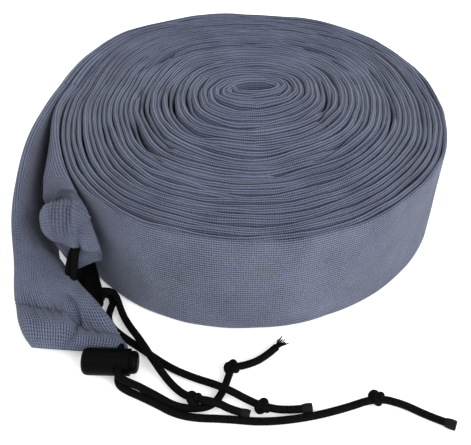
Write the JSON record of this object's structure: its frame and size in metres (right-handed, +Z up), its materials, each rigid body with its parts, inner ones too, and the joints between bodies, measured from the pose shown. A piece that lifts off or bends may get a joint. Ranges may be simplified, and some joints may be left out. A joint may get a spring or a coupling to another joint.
{
  "type": "drawstring hose sleeve roll",
  "caption": "Grey-blue knitted hose sleeve, flattened, folded in half and rolled up, with a black drawcord, knotted tails and a spring barrel cord lock at each hemmed mouth",
  "frame": {"origin": "on the floor, at the middle of the rolled body", "axes": "+Z up, along the roll's own axis; -Y is the front, where the cords lie; +X is to the right seen from the front"},
  "size_m": [0.287, 0.3487, 0.079],
  "materials": {
    "knit_fabric": "matte",
    "seam_thread": "matte",
    "braided_cord": "matte",
    "melted_cord": "satin",
    "lock_plastic": "satin",
    "spring_steel": "bright"
  },
  "bodies": {
    "sleeve": {"sleeve_roll": "knit_fabric", "front_sleeve_end": "knit_fabric", "front_hem": "knit_fabric", "front_hem_stitching": "seam_thread", "front_hem_cord": "braided_cord", "rear_sleeve_end": "knit_fabric", "rear_hem": "knit_fabric", "rear_hem_stitching": "seam_thread", "rear_hem_cord": "braided_cord", "rear_lock_barrel": "lock_plastic", "rear_lock_spring": "spring_steel", "front_long_tail": "braided_cord", "front_long_tail_knot": "braided_cord", "front_long_tail_tip": "melted_cord", "front_short_tail": "braided_cord", "front_short_tail_knot": "braided_cord", "front_short_tail_tip": "melted_cord", "rear_short_tail": "braided_cord", "rear_short_tail_knot": "braided_cord", "rear_short_tail_tip": "melted_cord", "rear_long_tail": "braided_cord", "rear_long_tail_knot": "braided_cord", "rear_long_tail_tip": "melted_cord"},
    "front_lock": {"front_lock_barrel": "lock_plastic", "front_lock_spring": "spring_steel"},
    "front_button": {"front_lock_button": "lock_plastic"},
    "rear_button": {"rear_lock_button": "lock_plastic"}
  },
  "joints": [
    {"name": "front_lock_slide", "type": "slide", "parent": "sleeve", "child": "front_lock", "axis": [0, -1, 0], "range_m": [0, 0.003]},
    {"name": "front_button_press", "type": "slide", "parent": "front_lock", "child": "front_button", "axis": [-1, 0, 0], "range_m": [0, 0.0035], "stiffness_N_per_m": 500, "springref_m": -0.003, "deforming": ["front_lock_spring"]},
    {"name": "rear_button_press", "type": "slide", "parent": "sleeve", "child": "rear_button", "axis": [-0.3431, 0.8812, 0.3251], "range_m": [0, 0.0035], "stiffness_N_per_m": 500, "springref_m": -0.003, "deforming": ["rear_lock_spring"]}
  ]
}
